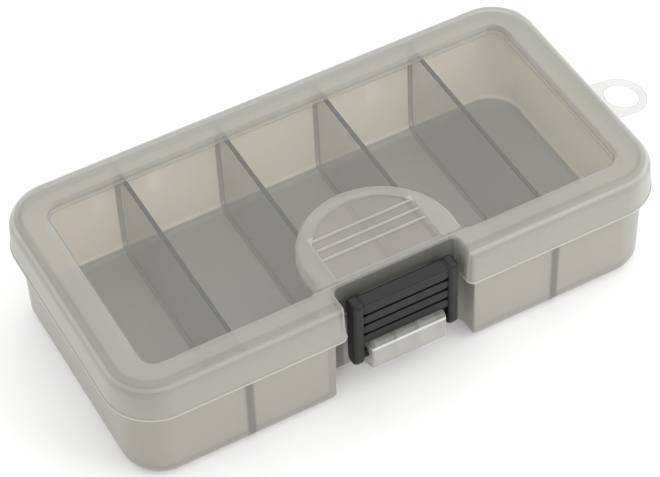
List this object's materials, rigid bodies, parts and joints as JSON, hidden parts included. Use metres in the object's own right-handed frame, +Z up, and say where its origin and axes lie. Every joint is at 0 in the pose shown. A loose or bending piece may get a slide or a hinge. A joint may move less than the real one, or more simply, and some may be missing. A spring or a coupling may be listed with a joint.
{
  "type": "compartment storage box",
  "caption": "Flat translucent storage box: a partitioned tray, a hinged lid with a sunk window and thumb pad, a snap latch in a front notch and a hang tab.",
  "frame": {"origin": "centre of the flat underside", "axes": "+X along the box towards the hang tab, +Y towards the hinges so that the latch faces -Y, +Z up"},
  "size_m": [0.2095, 0.1003, 0.0437],
  "materials": {
    "tray_plastic": "satin, translucent",
    "partition_plastic": "satin, translucent",
    "lid_plastic": "satin, translucent",
    "latch_plastic": "fine matt",
    "pin_steel": "drawn wire"
  },
  "bodies": {
    "tray": {"tray": "tray_plastic", "partition_1": "partition_plastic", "partition_2": "partition_plastic", "partition_3": "partition_plastic", "partition_4": "partition_plastic", "hinge_pin_left": "pin_steel", "hinge_pin_right": "pin_steel"},
    "lid": {"lid": "lid_plastic"},
    "latch": {"latch": "latch_plastic"}
  },
  "joints": [
    {"name": "lid_hinge", "type": "hinge", "parent": "tray", "child": "lid", "pos_m": [0, 0.0497, 0.0273], "axis": [-1, 0, 0], "range_deg": [0, 180]},
    {"name": "latch_pivot", "type": "hinge", "parent": "tray", "child": "latch", "pos_m": [0, -0.04335, 0.0159], "axis": [1, 0, 0], "range_deg": [0, 110]}
  ]
}
